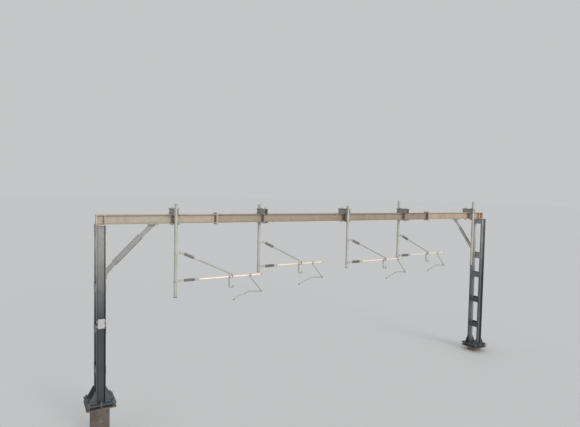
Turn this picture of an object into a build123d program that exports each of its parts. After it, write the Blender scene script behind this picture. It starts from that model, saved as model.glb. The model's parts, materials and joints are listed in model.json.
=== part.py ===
from build123d import *
from math import atan2, cos, degrees, hypot, sin
import os

# Lengths are in millimetres. X runs along the boom from the left upright, Y along the tracks and
# away from the viewer, Z up from the lowest ground at the piles.

# Portal
UPRIGHT_SPACING = 18900.0
BOOM_UNDERSIDE = 7130.0
LEFT_PLATE_TOP = 1340.0
RIGHT_PLATE_TOP = 360.0

# Rolled sections: depth, width, web thickness, flange thickness, root radius
BOOM = (315.0, 307.0, 12.0, 18.7, 15.0)
LEFT_BRACE = (178.0, 102.0, 5.0, 8.0, 7.5)
RIGHT_BRACE = (127.0, 76.0, 4.0, 7.5, 7.5)
UPRIGHT = (280.0, 95.0, 10.0, 15.0, 15.0)
CLAMP = (200.0, 75.0, 8.5, 11.5, 11.0)
CLAMP_BAR = 30.0

# Boom joints
SPLICE_FROM_UPRIGHT = 3970.0
SPLICE_PLATE = 28.0
SPLICE_PROUD = 55.0
STIFFENER = 14.0

# Uprights: two channels, back to back across a gap, tied by battens
UPRIGHT_GAP = 460.0
HEAD_PLATE = 25.0
BATTEN_HEIGHT = 250.0
BATTEN_THICKNESS = 12.0
BATTEN_LAP = 70.0
BATTEN_PITCH = 1350.0
BATTEN_FIRST = 1050.0

# Feet
PLATE_SIDE = 900.0
PLATE_THICKNESS = 40.0
PILE_DIAMETER = 610.0
LEVELLING_GAP = 90.0
STUD_DIAMETER = 42.0
STUD_HOLE = 48.0
STUD_INSET = 80.0
STUD_PROUD = 75.0
NUT_HEIGHT = 34.0
NUT_RADIUS = 37.0
GUSSET_THICKNESS = 18.0
GUSSET_HEIGHT = 380.0
GUSSET_REACH = 230.0
GUSSET_TIP = 35.0

# Knee braces: the left one is the deeper section, the right one is longer
LEFT_BRACE_RUN = 1550.0
LEFT_BRACE_RISE = 1590.0
RIGHT_BRACE_RUN = 1760.0
RIGHT_BRACE_RISE = 1960.0
BRACE_SEAT = 20.0
BRACE_SEAT_LENGTH = 340.0
BRACE_GUSSET = 16.0
BRACE_GUSSET_LENGTH = 250.0
BRACE_FROM_COLUMN = 420.0
BRACE_FROM_BOOM = 590.0
BRACE_LAP = 110.0

# Drop tubes: place along the boom, side of the boom, height of the lower end, height over the boom
LAST_TUBE_FROM_UPRIGHT = 850.0
DROP_TUBES = [
    (2410.0, -1, 4550.0, 370.0),
    (5890.0, 1, 5110.0, 350.0),
    (9870.0, -1, 5090.0, 325.0),
    (13335.0, 1, 5255.0, 570.0),
    (UPRIGHT_SPACING - LAST_TUBE_FROM_UPRIGHT, -1, 4695.0, 560.0),
]
DROP_TUBE_DIAMETER = 114.3
DROP_TUBE_GAP = 60.0
TUBE_CAP = 8.0
CAP_LIP = 3.0
SEAT = 0.3

# Drop tube clamps
CLAMP_LENGTH = 660.0
CLAMP_PAST_TUBE = 60.0
TIE_ROD_DIAMETER = 24.0
CLAMP_WASHER = (210.0, 40.0, 15.0)
TIE_NUT = 19.0
TIE_NUT_RADIUS = 20.0

# Identity plate
IDENTITY_HEIGHT = 3945.0
IDENTITY_PLATE = (210.0, 4.0, 310.0)
IDENTITY_STRAP = 6.0
IDENTITY_STRAP_HEIGHT = 40.0

# Cantilevers on the first four drop tubes: height of the lower pin, end of the main tube, tie clamp,
# drop arm clamp. The last three are distances from the drop tube's axis.
CANTILEVERS = [
    (5130.0, 3340.0, 2130.0, 2860.0),
    (5330.0, 3090.0, 2000.0, 2580.0),
    (5335.0, 3190.0, 2210.0, 2970.0),
    (5370.0, 3190.0, 2070.0, 2750.0),
]
TIE_RISE = 970.0
PIN_REACH = 160.0
PIN_DIAMETER = 24.0
PIN_CLEARANCE = 0.05
BAND_THICKNESS = 14.0
BAND_HEIGHT = 90.0
BAND_THROAT = 4.0
EAR_THICKNESS = 12.0
EAR_GAP = 44.0
EAR_WIDTH = 58.0
EYE_RADIUS = 24.0
NECK_RADIUS = 15.0
NECK_LENGTH = 70.0

# Insulators
CORE_RADIUS = 24.0
SHED_RADIUS = 62.0
SHED_COUNT = 6
SHED_PITCH = 70.0
SHED_THICKNESS = 36.0
FERRULE_RADIUS = 33.0
FERRULE_LENGTH = 55.0
SOCKET_LENGTH = 95.0
SOCKET_WALL = 8.0

# Cantilever tubes and fittings
MAIN_TUBE_DIAMETER = 76.0
TIE_DIAMETER = 48.0
CLAMP_BAND = 9.0
CLAMP_WIDTH = 60.0
TUBE_STANDOFF = 2.0
TIE_KNUCKLE_RISE = 78.0
KNUCKLE_RADIUS = 22.0
KNUCKLE_WIDTH = 44.0
KNUCKLE_RIM = 4.0

# Registration: the messenger hook and the drop arm
HOOK_BEFORE_TIE = 115.0
HOOK_DROP = 400.0
HOOK_FOOT = 170.0
HOOK_DIAMETER = 56.0
HOOK_BEND = 75.0
SADDLE_BITE = 2.0
DROP_ARM_DIAMETER = 38.0
DROP_ARM_OUT = 520.0
DROP_ARM_DOWN = 670.0
FORK_CHEEK = 8.0
FORK_RADIUS = 24.0
FORK_LENGTH = 90.0
FORK_BRIDGE = 30.0
FORK_REST = 8.0
BOSS_RIM = 6.0
BAND_RIM = 5.0
BOSS_DEPTH = 25.0
ARM_PIN_DIAMETER = 16.0

# Steady arm
STEADY_DIAMETER = 30.0
STEADY_EYE_WIDTH = 34.0
STEADY_EYE_RADIUS = 20.0
STEADY_FLAT = 540.0
STEADY_RISE = 50.0
STEADY_LENGTH = 1175.0
STEADY_FALL = 185.0
STEADY_BEND = 120.0

# Wires held: contact wire and messenger wire
WIRE_RADIUS = 6.0
WIRE_MOUTH = 8.0
WIRE_CLIP = (36.0, 50.0, 36.0)
CLIP_BITE = 4.0

boom_depth, boom_width, boom_web, boom_flange, boom_root = BOOM
boom_top = BOOM_UNDERSIDE + boom_depth
boom_middle = BOOM_UNDERSIDE + boom_depth / 2
upright_depth, upright_flange = UPRIGHT[0], UPRIGHT[1]
half_column = upright_depth / 2
column_toe = UPRIGHT_GAP / 2 + upright_flange
tube_radius = DROP_TUBE_DIAMETER / 2
tube_offset = boom_width / 2 + DROP_TUBE_GAP + tube_radius
main_radius = MAIN_TUBE_DIAMETER / 2
UP = (Align.CENTER, Align.CENTER, Align.MIN)


def block(x_range, y_range, z_range):
    """Box between three pairs of coordinates."""
    spans = [high - low for low, high in (x_range, y_range, z_range)]
    middle = [(low + high) / 2 for low, high in (x_range, y_range, z_range)]
    return Pos(*middle) * Box(*spans)


def bar(start, end, radius):
    """Round bar from one point to another."""
    axis = Vector(*end) - Vector(*start)
    return Plane(origin=start, z_dir=axis) * Cylinder(radius, axis.length, align=UP)


def cross_pin(x, z, radius, width):
    """Round bar along Y, centred on the plane of the cantilever."""
    return bar((x, -width / 2, z), (x, width / 2, z), radius)


def h_outline(depth, width, web, flange, root):
    """H-section with its web along local y."""
    edge = Rectangle(width, flange)
    rise = (depth - flange) / 2
    outline = Rectangle(web, depth) + Pos(0, rise) * edge + Pos(0, -rise) * edge
    corners = [v for v in outline.vertices() if abs(abs(v.X) - web / 2) < 0.01]
    return fillet(corners, root)


def channel_outline(depth, width, web, flange, root):
    """Channel with the back of its web on local x and its toes towards +y."""
    leg = Rectangle(flange, width, align=(Align.CENTER, Align.MIN))
    side = (depth - flange) / 2
    outline = Rectangle(depth, web, align=(Align.CENTER, Align.MIN)) + Pos(side, 0) * leg + Pos(-side, 0) * leg
    inner = depth / 2 - flange
    corners = [v for v in outline.vertices() if abs(abs(v.X) - inner) < 0.01 and abs(v.Y - web) < 0.01]
    return fillet(corners, root)


def fin(points, thickness, place):
    """Flat plate cut to an outline of points in the XZ plane, centred on Y, then placed."""
    outline = make_face(Polyline(*[(x, z) for x, z in points], close=True))
    plate = extrude(Plane.XZ * outline, thickness / 2, both=True)
    return place * plate


def pile(plate_top):
    """Concrete-filled tubular stub, head plate and the studs that the base plate stands on."""
    head_top = plate_top - PLATE_THICKNESS - LEVELLING_GAP
    head_low = head_top - PLATE_THICKNESS
    body = Cylinder(PILE_DIAMETER / 2, head_low, align=UP)
    half = PLATE_SIDE / 2
    body += block((-half, half), (-half, half), (head_low, head_top))
    for x, y in stud_places():
        body += Pos(x, y, head_top) * levelling_stud()
    return body


def stud_places():
    """Eight studs round the edge of the base plate."""
    reach = PLATE_SIDE / 2 - STUD_INSET
    return [(x, y) for x in (-reach, 0, reach) for y in (-reach, 0, reach) if x or y]


def levelling_stud():
    """Stud with a nut on the head plate and the nut that carries the base plate."""
    shank = Cylinder(STUD_DIAMETER / 2, LEVELLING_GAP + PLATE_THICKNESS + STUD_PROUD, align=UP)
    nut = extrude(RegularPolygon(NUT_RADIUS, 6), NUT_HEIGHT)
    return shank + nut + Pos(0, 0, LEVELLING_GAP - NUT_HEIGHT) * nut


def base_plate(plate_top):
    """Square plate drilled for the studs, with gussets round the column."""
    half = PLATE_SIDE / 2
    body = block((-half, half), (-half, half), (plate_top - PLATE_THICKNESS, plate_top))
    for x, y in stud_places():
        body -= Pos(x, y, plate_top - PLATE_THICKNESS / 2) * Cylinder(STUD_HOLE / 2, 2 * PLATE_THICKNESS)
    gusset = [(0, 0), (GUSSET_REACH, 0), (GUSSET_REACH, GUSSET_TIP), (GUSSET_TIP, GUSSET_HEIGHT), (0, GUSSET_HEIGHT)]
    flange_line = UPRIGHT_GAP / 2 + upright_flange / 2
    for x_side in (-1, 1):
        turn = Rot(0, 0, 0 if x_side > 0 else 180)
        for y_side in (-1, 1):
            place = Pos(x_side * half_column, y_side * flange_line, plate_top) * turn
            body += fin(gusset, GUSSET_THICKNESS, place)
    return body


def upright(plate_top):
    """Two channels with their toes outward, under one head plate."""
    foot = plate_top
    head = BOOM_UNDERSIDE - HEAD_PLATE
    outline = channel_outline(*UPRIGHT)
    body = block((-half_column, half_column), (-column_toe, column_toe), (head, BOOM_UNDERSIDE))
    for y_side in (-1, 1):
        turn = Rot(0, 0, 0 if y_side > 0 else 180)
        body += Pos(0, y_side * UPRIGHT_GAP / 2, foot) * turn * extrude(outline, head - foot)
    return body


def batten_heights(plate_top, brace_rise):
    """Middle heights of the battens: up from the base plate to the knee brace, and one at the head."""
    top = BOOM_UNDERSIDE - brace_rise - BRACE_SEAT_LENGTH
    heights = [BOOM_UNDERSIDE - HEAD_PLATE - BATTEN_HEIGHT / 2]
    height = plate_top + BATTEN_FIRST
    while height < top:
        heights.append(height)
        height += BATTEN_PITCH
    return heights


def battens(plate_top, brace_rise):
    """Tie plates across the two channels, on both sides of the column."""
    half_width = UPRIGHT_GAP / 2 + BATTEN_LAP
    plates = []
    for z in batten_heights(plate_top, brace_rise):
        for x_side in (-1, 1):
            near = x_side * half_column
            x_range = sorted((near, near + x_side * BATTEN_THICKNESS))
            z_range = (z - BATTEN_HEIGHT / 2, z + BATTEN_HEIGHT / 2)
            plates.append(block(x_range, (-half_width, half_width), z_range))
    return plates


def boom_length(x_from, x_to, plates_at, stiffeners_at):
    """Length of H-section with bolted end plates, and web stiffeners there and at each drop tube."""
    frame = Plane(origin=(x_from, 0, boom_middle), x_dir=(0, 1, 0), z_dir=(1, 0, 0))
    body = extrude(frame * h_outline(*BOOM), x_to - x_from)
    for x, inward in plates_at:
        x_range = sorted((x, x + inward * SPLICE_PLATE))
        z_range = (BOOM_UNDERSIDE - SPLICE_PROUD, boom_top + SPLICE_PROUD)
        body += block(x_range, (-boom_width / 2, boom_width / 2), z_range)
    at_tubes = [row[0] for row in DROP_TUBES if x_from < row[0] < x_to]
    for x in stiffeners_at + at_tubes:
        x_range = (x - STIFFENER / 2, x + STIFFENER / 2)
        z_range = (BOOM_UNDERSIDE + boom_flange, boom_top - boom_flange)
        body += block(x_range, (-boom_width / 2 + STIFFENER, boom_width / 2 - STIFFENER), z_range)
    return body


def knee_brace(section, run, rise):
    """Sloping H-section held by a gusset on a column seat and one on a seat under the boom."""
    slope = atan2(rise, run)
    way = Vector(cos(slope), 0, sin(slope))
    foot = Vector(half_column, 0, BOOM_UNDERSIDE - rise)
    head = foot + way * hypot(run, rise)
    start = foot + way * BRACE_FROM_COLUMN
    end = head - way * BRACE_FROM_BOOM
    frame = Plane(origin=start, x_dir=(0, 1, 0), z_dir=way)
    body = extrude(frame * h_outline(*section), (end - start).length)
    half_seat = BRACE_SEAT_LENGTH / 2
    half_column_seat = UPRIGHT_GAP / 2 + BATTEN_LAP
    half_boom = boom_width / 2
    wall = foot.X + BRACE_SEAT
    ceiling = BOOM_UNDERSIDE - BRACE_SEAT
    z_range = (foot.Z - half_seat, foot.Z + half_seat)
    body += block((foot.X, wall), (-half_column_seat, half_column_seat), z_range)
    body += block((head.X - half_seat, head.X + half_seat), (-half_boom, half_boom), (ceiling, BOOM_UNDERSIDE))
    depth, width, web, flange, root = section
    across = Vector(-way.Z, 0, way.X) * (depth / 2 - flange - root)
    half_gusset = BRACE_GUSSET_LENGTH / 2
    lap = start + way * BRACE_LAP
    low_gusset = [(wall, foot.Z - half_gusset), (wall, foot.Z + half_gusset)]
    low_gusset += [(point.X, point.Z) for point in (lap + across, lap - across)]
    lap = end - way * BRACE_LAP
    high_gusset = [(head.X - half_gusset, ceiling), (head.X + half_gusset, ceiling)]
    high_gusset += [(point.X, point.Z) for point in (lap - across, lap + across)]
    body += fin(low_gusset, BRACE_GUSSET, Pos(0, 0, 0))
    return body + fin(high_gusset, BRACE_GUSSET, Pos(0, 0, 0))


def drop_tube(x, side, low, over_boom):
    """Tube with a lipped cap at each end."""
    y = side * tube_offset
    top = boom_top + over_boom
    body = bar((x, y, low), (x, y, top), tube_radius)
    body += bar((x, y, low), (x, y, low + TUBE_CAP), tube_radius + CAP_LIP)
    body += bar((x, y, top - TUBE_CAP), (x, y, top), tube_radius + CAP_LIP)
    return body


def drop_tube_clamp(x, side):
    """Channels over the boom and bars under it that straddle the tube, with their tie rods."""
    far_end = side * (tube_offset + CLAMP_PAST_TUBE)
    y_range = sorted((far_end, far_end - side * CLAMP_LENGTH))
    outline = channel_outline(*CLAMP)
    pieces = []
    for toes in (-1, 1):
        near = x + toes * (tube_radius + SEAT)
        start = y_range[0] if toes > 0 else y_range[1]
        frame = Plane(origin=(near, start, boom_top + CLAMP[0] / 2), x_dir=(0, 0, 1), z_dir=(0, toes, 0))
        pieces.append(extrude(frame * outline, CLAMP_LENGTH))
        x_range = sorted((near, near + toes * CLAMP[1]))
        pieces.append(block(x_range, y_range, (BOOM_UNDERSIDE - CLAMP_BAR, BOOM_UNDERSIDE)))
    rod_y = boom_width / 2 + DROP_TUBE_GAP / 2
    for y in (-rod_y, rod_y):
        pieces.append(Pos(x, y, 0) * tie_rod())
    return pieces


def tie_rod():
    """Rod with a plate washer and a nut over the channels, and the same under the bars."""
    top = boom_top + CLAMP[0]
    bottom = BOOM_UNDERSIDE - CLAMP_BAR
    overrun = CLAMP_WASHER[2] + 2 * TIE_NUT
    body = bar((0, 0, bottom - overrun), (0, 0, top + overrun), TIE_ROD_DIAMETER / 2)
    nut = RegularPolygon(TIE_NUT_RADIUS, 6)
    for face, way in ((top, 1), (bottom, -1)):
        body += Pos(0, 0, face + way * CLAMP_WASHER[2] / 2) * Box(*CLAMP_WASHER)
        body += Pos(0, 0, face + way * CLAMP_WASHER[2]) * extrude(nut, way * TIE_NUT)
    return body


def identity_plate():
    """Bare plate on two straps across the toes of the left column's near channel."""
    width, thickness, height = IDENTITY_PLATE
    strap_face = -column_toe - IDENTITY_STRAP
    x_range = (-width / 2, width / 2)
    z_range = (IDENTITY_HEIGHT - height / 2, IDENTITY_HEIGHT + height / 2)
    body = block(x_range, (strap_face - thickness, strap_face), z_range)
    for z in (IDENTITY_HEIGHT - height / 4, IDENTITY_HEIGHT + height / 4):
        z_range = (z - IDENTITY_STRAP_HEIGHT / 2, z + IDENTITY_STRAP_HEIGHT / 2)
        body += block((-half_column, half_column), (strap_face, -column_toe), z_range)
    return body


def swivel_bracket():
    """Band round the drop tube with two ears and a fixed vertical pin, about the pin's middle."""
    ears = Pos(PIN_REACH / 2, 0, 0) * Box(PIN_REACH, EAR_WIDTH, EAR_GAP + 2 * EAR_THICKNESS)
    ears += Pos(PIN_REACH, 0, 0) * Cylinder(EAR_WIDTH / 2, EAR_GAP + 2 * EAR_THICKNESS)
    throat = tube_radius + BAND_THICKNESS + BAND_THROAT
    ears -= block((throat, PIN_REACH + EAR_WIDTH), (-EAR_WIDTH, EAR_WIDTH), (-EAR_GAP / 2, EAR_GAP / 2))
    band = Cylinder(tube_radius + BAND_THICKNESS, BAND_HEIGHT)
    body = band + ears - Cylinder(tube_radius + SEAT, 2 * BAND_HEIGHT)
    return body + Pos(PIN_REACH, 0, 0) * Cylinder(PIN_DIAMETER / 2, EAR_GAP + 4 * EAR_THICKNESS)


def swivel_eye():
    """Eye that turns on the bracket's pin and stands just over the lower ear, with its neck."""
    low = -EAR_GAP / 2 + SEAT
    height = EAR_GAP - 1.0
    body = Pos(PIN_REACH, 0, low) * Cylinder(EYE_RADIUS, height, align=UP)
    body += bar((PIN_REACH, 0, 0), (PIN_REACH + NECK_LENGTH, 0, 0), NECK_RADIUS)
    bore = Pos(PIN_REACH, 0, low - 1) * Cylinder(PIN_DIAMETER / 2 + PIN_CLEARANCE, height + 2, align=UP)
    return body - bore


def insulator_length():
    """Distance from the ferrule's near end to the mouth of the socket."""
    return 2 * FERRULE_LENGTH + SHED_COUNT * SHED_PITCH + SOCKET_LENGTH


def insulator(tube_size):
    """Ferrules, sheds and a socket for a tube of this diameter, along +X from the origin."""
    half_shed = SHED_THICKNESS / 2
    outline = [(0, 0), (0, FERRULE_RADIUS), (FERRULE_LENGTH, FERRULE_RADIUS), (FERRULE_LENGTH, CORE_RADIUS)]
    for index in range(SHED_COUNT):
        x = FERRULE_LENGTH + (index + 0.5) * SHED_PITCH
        outline += [(x - half_shed, CORE_RADIUS), (x, SHED_RADIUS), (x + half_shed, CORE_RADIUS)]
    x = FERRULE_LENGTH + SHED_COUNT * SHED_PITCH
    mouth = x + FERRULE_LENGTH + SOCKET_LENGTH
    socket_radius = tube_size / 2 + SEAT + SOCKET_WALL
    outline += [(x, CORE_RADIUS), (x, socket_radius), (mouth, socket_radius)]
    outline += [(mouth, tube_size / 2 + SEAT), (mouth - SOCKET_LENGTH, tube_size / 2 + SEAT)]
    outline += [(mouth - SOCKET_LENGTH, 0)]
    return revolve(make_face(Polyline(*outline, close=True)), Axis.X)


def tie_line(tie_at):
    """Start, direction and angle of the tie, from its upper knuckle to the one on the main tube."""
    start = Vector(PIN_REACH + NECK_LENGTH, 0, TIE_RISE)
    end = Vector(tie_at, 0, TIE_KNUCKLE_RISE)
    run = end - start
    return start, end, run.normalized(), degrees(atan2(-run.Z, run.X))


def insulators(tie_at):
    """The main tube's insulator and the tie's, each on its swivel eye."""
    lower = swivel_eye() + Pos(PIN_REACH + NECK_LENGTH, 0, 0) * insulator(MAIN_TUBE_DIAMETER)
    start, end, way, slope = tie_line(tie_at)
    upper = Pos(0, 0, TIE_RISE) * swivel_eye()
    upper += cross_pin(start.X, start.Z, KNUCKLE_RADIUS, KNUCKLE_WIDTH)
    upper += Pos(*start) * Rot(0, slope, 0) * insulator(TIE_DIAMETER)
    return [lower, upper]


def main_tube(tube_end):
    """Horizontal tube from the bottom of its socket to a lipped end cap."""
    start = PIN_REACH + NECK_LENGTH + insulator_length() - SOCKET_LENGTH + SEAT
    body = bar((start, 0, 0), (tube_end, 0, 0), main_radius)
    return body + bar((tube_end - TUBE_CAP, 0, 0), (tube_end, 0, 0), main_radius + CAP_LIP)


def pipe_clamp(x, width):
    """Band round the main tube."""
    outer = main_radius + SEAT + CLAMP_BAND
    ends = ((x - width / 2, 0, 0), (x + width / 2, 0, 0))
    return bar(*ends, outer) - bar(*ends, main_radius + SEAT)


def tie(tie_at):
    """Tie tube from its socket to a knuckle over its clamp on the main tube."""
    start, end, way, slope = tie_line(tie_at)
    first = start + way * (insulator_length() - SOCKET_LENGTH + SEAT)
    body = bar(tuple(first), tuple(end), TIE_DIAMETER / 2)
    body += cross_pin(end.X, end.Z, KNUCKLE_RADIUS + KNUCKLE_RIM, KNUCKLE_WIDTH)
    half_width = KNUCKLE_WIDTH / 2
    z_range = (main_radius + TUBE_STANDOFF, TIE_KNUCKLE_RISE)
    lug = block((tie_at - KNUCKLE_RADIUS, tie_at + KNUCKLE_RADIUS), (-half_width, half_width), z_range)
    return body + lug + pipe_clamp(tie_at, CLAMP_WIDTH)


def wire_clip(mouth_up):
    """Block with a bore along Y for the wire, about the bore, open on its upper or lower side."""
    body = Box(*WIRE_CLIP) - cross_pin(0, 0, WIRE_RADIUS, 2 * WIRE_CLIP[1])
    reach = WIRE_CLIP[2] / 2 + 1
    z_range = (0, reach) if mouth_up else (-reach, 0)
    return body - block((-WIRE_MOUTH / 2, WIRE_MOUTH / 2), (-WIRE_CLIP[1], WIRE_CLIP[1]), z_range)


def bent_bar(points, radius, bend):
    """Round bar along a bent line in the XZ plane."""
    path = FilletPolyline(*[(x, 0, z) for x, z in points], radius=bend)
    section = Plane(origin=path @ 0, z_dir=path % 0) * Circle(radius)
    return sweep(section, path=path)


def hook_place(tie_at):
    """Middle of the messenger wire in its saddle, from the drop tube's axis and the lower pin."""
    x = tie_at - HOOK_BEFORE_TIE + HOOK_FOOT
    return x, -HOOK_DROP + HOOK_DIAMETER / 2 + WIRE_CLIP[2] / 2 - SADDLE_BITE


def messenger_hook(tie_at):
    """Hook under the main tube, with the messenger wire's saddle on its foot."""
    x = tie_at - HOOK_BEFORE_TIE
    points = [(x, -main_radius - TUBE_STANDOFF), (x, -HOOK_DROP), (x + HOOK_FOOT, -HOOK_DROP)]
    saddle_x, saddle_z = hook_place(tie_at)
    body = bent_bar(points, HOOK_DIAMETER / 2, HOOK_BEND) + hanging_clamp(x, HOOK_DIAMETER)
    return body + Pos(saddle_x, 0, saddle_z) * wire_clip(mouth_up=True)


def hanging_clamp(x, rod):
    """Band round the main tube with a boss under it for a rod of this diameter."""
    half = rod / 2 + BOSS_RIM
    top = -main_radius - TUBE_STANDOFF
    boss = block((x - half, x + half), (-half, half), (top - BOSS_DEPTH, top))
    return boss + pipe_clamp(x, 2 * (half + BAND_RIM))


def registration(tie_at, arm_at):
    """The messenger hook and the drop arm, whose fork holds the steady arm's pin."""
    foot = Vector(arm_at + DROP_ARM_OUT, 0, -DROP_ARM_DOWN)
    root = Vector(arm_at, 0, -main_radius - TUBE_STANDOFF - DROP_ARM_DIAMETER / 2)
    way = (foot - root).normalized()
    bridge = foot - way * FORK_LENGTH
    slope = degrees(atan2(-way.Z, way.X))
    half_gap = STEADY_EYE_WIDTH / 2 + SEAT
    width = 2 * (half_gap + FORK_CHEEK)
    arm = bar(tuple(root), tuple(bridge), DROP_ARM_DIAMETER / 2)
    arm += hanging_clamp(arm_at, DROP_ARM_DIAMETER)
    arm += Pos(*bridge) * Rot(0, slope, 0) * Box(FORK_BRIDGE, width, 2 * FORK_RADIUS)
    arm += cross_pin(foot.X, foot.Z, ARM_PIN_DIAMETER / 2, width + 2 * FORK_CHEEK)
    for side in (-1, 1):
        cheek = Pos(FORK_LENGTH / 2, 0, 0) * Box(FORK_LENGTH, FORK_CHEEK, 2 * FORK_RADIUS - 4)
        cheek += Pos(FORK_LENGTH, 0, 0) * Rot(90, 0, 0) * Cylinder(FORK_RADIUS, FORK_CHEEK)
        arm += Pos(bridge.X, side * (half_gap + FORK_CHEEK / 2), bridge.Z) * Rot(0, slope, 0) * cheek
    rest_top = foot.Z - STEADY_EYE_RADIUS - SEAT
    rest_x = (foot.X - FORK_REST, foot.X + FORK_REST)
    arm += block(rest_x, (-width / 2, width / 2), (rest_top - FORK_REST, rest_top))
    return [messenger_hook(tie_at), arm]


def steady_arm(arm_at):
    """Bent arm from its eye on the fork's pin to the contact wire's clip."""
    x, z = arm_at + DROP_ARM_OUT, -DROP_ARM_DOWN
    points = [(x, z), (x - STEADY_FLAT, z + STEADY_RISE), (x - STEADY_LENGTH, z - STEADY_FALL)]
    body = bent_bar(points, STEADY_DIAMETER / 2, STEADY_BEND)
    body += cross_pin(x, z, STEADY_EYE_RADIUS, STEADY_EYE_WIDTH)
    body -= cross_pin(x, z, ARM_PIN_DIAMETER / 2 + PIN_CLEARANCE, 2 * STEADY_EYE_WIDTH)
    clip_x, clip_z = clip_place(arm_at)
    return body + Pos(clip_x, 0, clip_z) * wire_clip(mouth_up=False)


def clip_place(arm_at):
    """Middle of the contact wire, under the tip of the steady arm."""
    x = arm_at + DROP_ARM_OUT - STEADY_LENGTH
    return x, -DROP_ARM_DOWN - STEADY_FALL - STEADY_DIAMETER / 2 - WIRE_CLIP[2] / 2 + CLIP_BITE


def save(name, pieces):
    """Write one node from one solid or a list of solids that don't touch."""
    shape = Compound(children=pieces) if isinstance(pieces, list) else pieces
    export_step(shape, f"parts/{name}.step")


def build():
    os.makedirs("parts", exist_ok=True)
    place_right = Pos(UPRIGHT_SPACING, 0, 0)
    turn_right = place_right * Rot(0, 0, 180)
    save("left_pile", pile(LEFT_PLATE_TOP))
    save("right_pile", place_right * pile(RIGHT_PLATE_TOP))
    save("left_base_plate", base_plate(LEFT_PLATE_TOP))
    save("right_base_plate", place_right * base_plate(RIGHT_PLATE_TOP))
    save("left_upright", upright(LEFT_PLATE_TOP))
    save("right_upright", place_right * upright(RIGHT_PLATE_TOP))
    left_plates = battens(LEFT_PLATE_TOP, LEFT_BRACE_RISE)
    right_plates = battens(RIGHT_PLATE_TOP, RIGHT_BRACE_RISE)
    save("left_battens", left_plates)
    save("right_battens", [place_right * plate for plate in right_plates])
    save("left_knee_brace", knee_brace(LEFT_BRACE, LEFT_BRACE_RUN, LEFT_BRACE_RISE))
    save("right_knee_brace", turn_right * knee_brace(RIGHT_BRACE, RIGHT_BRACE_RUN, RIGHT_BRACE_RISE))
    save("identity_plate", identity_plate())

    left_splice = SPLICE_FROM_UPRIGHT
    right_splice = UPRIGHT_SPACING - SPLICE_FROM_UPRIGHT
    left_end = -half_column
    right_end = UPRIGHT_SPACING + half_column
    column_lines = [-half_column + STIFFENER, half_column - STIFFENER]
    right_lines = [UPRIGHT_SPACING + x for x in column_lines]
    middle_plates = [(left_splice, 1), (right_splice, -1)]
    save("boom_left_length", boom_length(left_end, left_splice, [(left_splice, -1)], column_lines))
    save("boom_middle_length", boom_length(left_splice, right_splice, middle_plates, []))
    save("boom_right_length", boom_length(right_splice, right_end, [(right_splice, 1)], right_lines))

    for number, (x, side, low, over_boom) in enumerate(DROP_TUBES, 1):
        save(f"drop_tube_{number}", drop_tube(x, side, low, over_boom))
        save(f"drop_tube_clamp_{number}", drop_tube_clamp(x, side))

    brackets = []
    for number, (height, tube_end, tie_at, arm_at) in enumerate(CANTILEVERS, 1):
        x, side = DROP_TUBES[number - 1][:2]
        place = Pos(x, side * tube_offset, height)
        brackets += [place * swivel_bracket(), place * Pos(0, 0, TIE_RISE) * swivel_bracket()]
        save(f"insulators_{number}", [place * piece for piece in insulators(tie_at)])
        save(f"main_tube_{number}", place * main_tube(tube_end))
        save(f"tie_{number}", place * tie(tie_at))
        save(f"registration_{number}", [place * piece for piece in registration(tie_at, arm_at)])
        save(f"steady_arm_{number}", place * steady_arm(arm_at))
    save("swivel_brackets", brackets)


build()
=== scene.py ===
import json
import math
from contextlib import contextmanager

import bmesh
import bpy
from mathutils import Matrix, Vector

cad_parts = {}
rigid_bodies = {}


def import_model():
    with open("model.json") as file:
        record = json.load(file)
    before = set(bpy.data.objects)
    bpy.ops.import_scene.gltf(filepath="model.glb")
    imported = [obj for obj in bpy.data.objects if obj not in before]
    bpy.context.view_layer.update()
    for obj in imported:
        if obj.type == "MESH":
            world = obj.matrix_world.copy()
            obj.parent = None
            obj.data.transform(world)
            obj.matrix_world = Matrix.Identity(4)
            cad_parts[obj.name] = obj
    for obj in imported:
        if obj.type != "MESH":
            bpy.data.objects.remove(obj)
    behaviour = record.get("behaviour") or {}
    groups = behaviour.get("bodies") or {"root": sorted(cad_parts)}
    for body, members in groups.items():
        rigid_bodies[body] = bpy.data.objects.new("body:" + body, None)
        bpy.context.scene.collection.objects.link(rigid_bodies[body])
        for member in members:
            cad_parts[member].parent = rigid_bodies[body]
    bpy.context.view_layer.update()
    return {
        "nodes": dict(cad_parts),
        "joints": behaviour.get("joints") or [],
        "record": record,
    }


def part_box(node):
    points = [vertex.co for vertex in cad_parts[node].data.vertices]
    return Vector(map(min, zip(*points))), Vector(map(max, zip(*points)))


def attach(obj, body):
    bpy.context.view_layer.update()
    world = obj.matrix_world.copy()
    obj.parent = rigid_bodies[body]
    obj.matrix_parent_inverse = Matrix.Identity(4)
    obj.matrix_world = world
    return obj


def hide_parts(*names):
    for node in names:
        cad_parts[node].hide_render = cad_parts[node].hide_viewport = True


for leftover in list(bpy.data.objects):
    bpy.data.objects.remove(leftover)
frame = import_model()

# Lengths are in metres. X runs along the boom, Y along the tracks and Z up.
SIDES = ("left", "right")
CANTILEVERS = (1, 2, 3, 4)
DROP_TUBES = (1, 2, 3, 4, 5)

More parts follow.
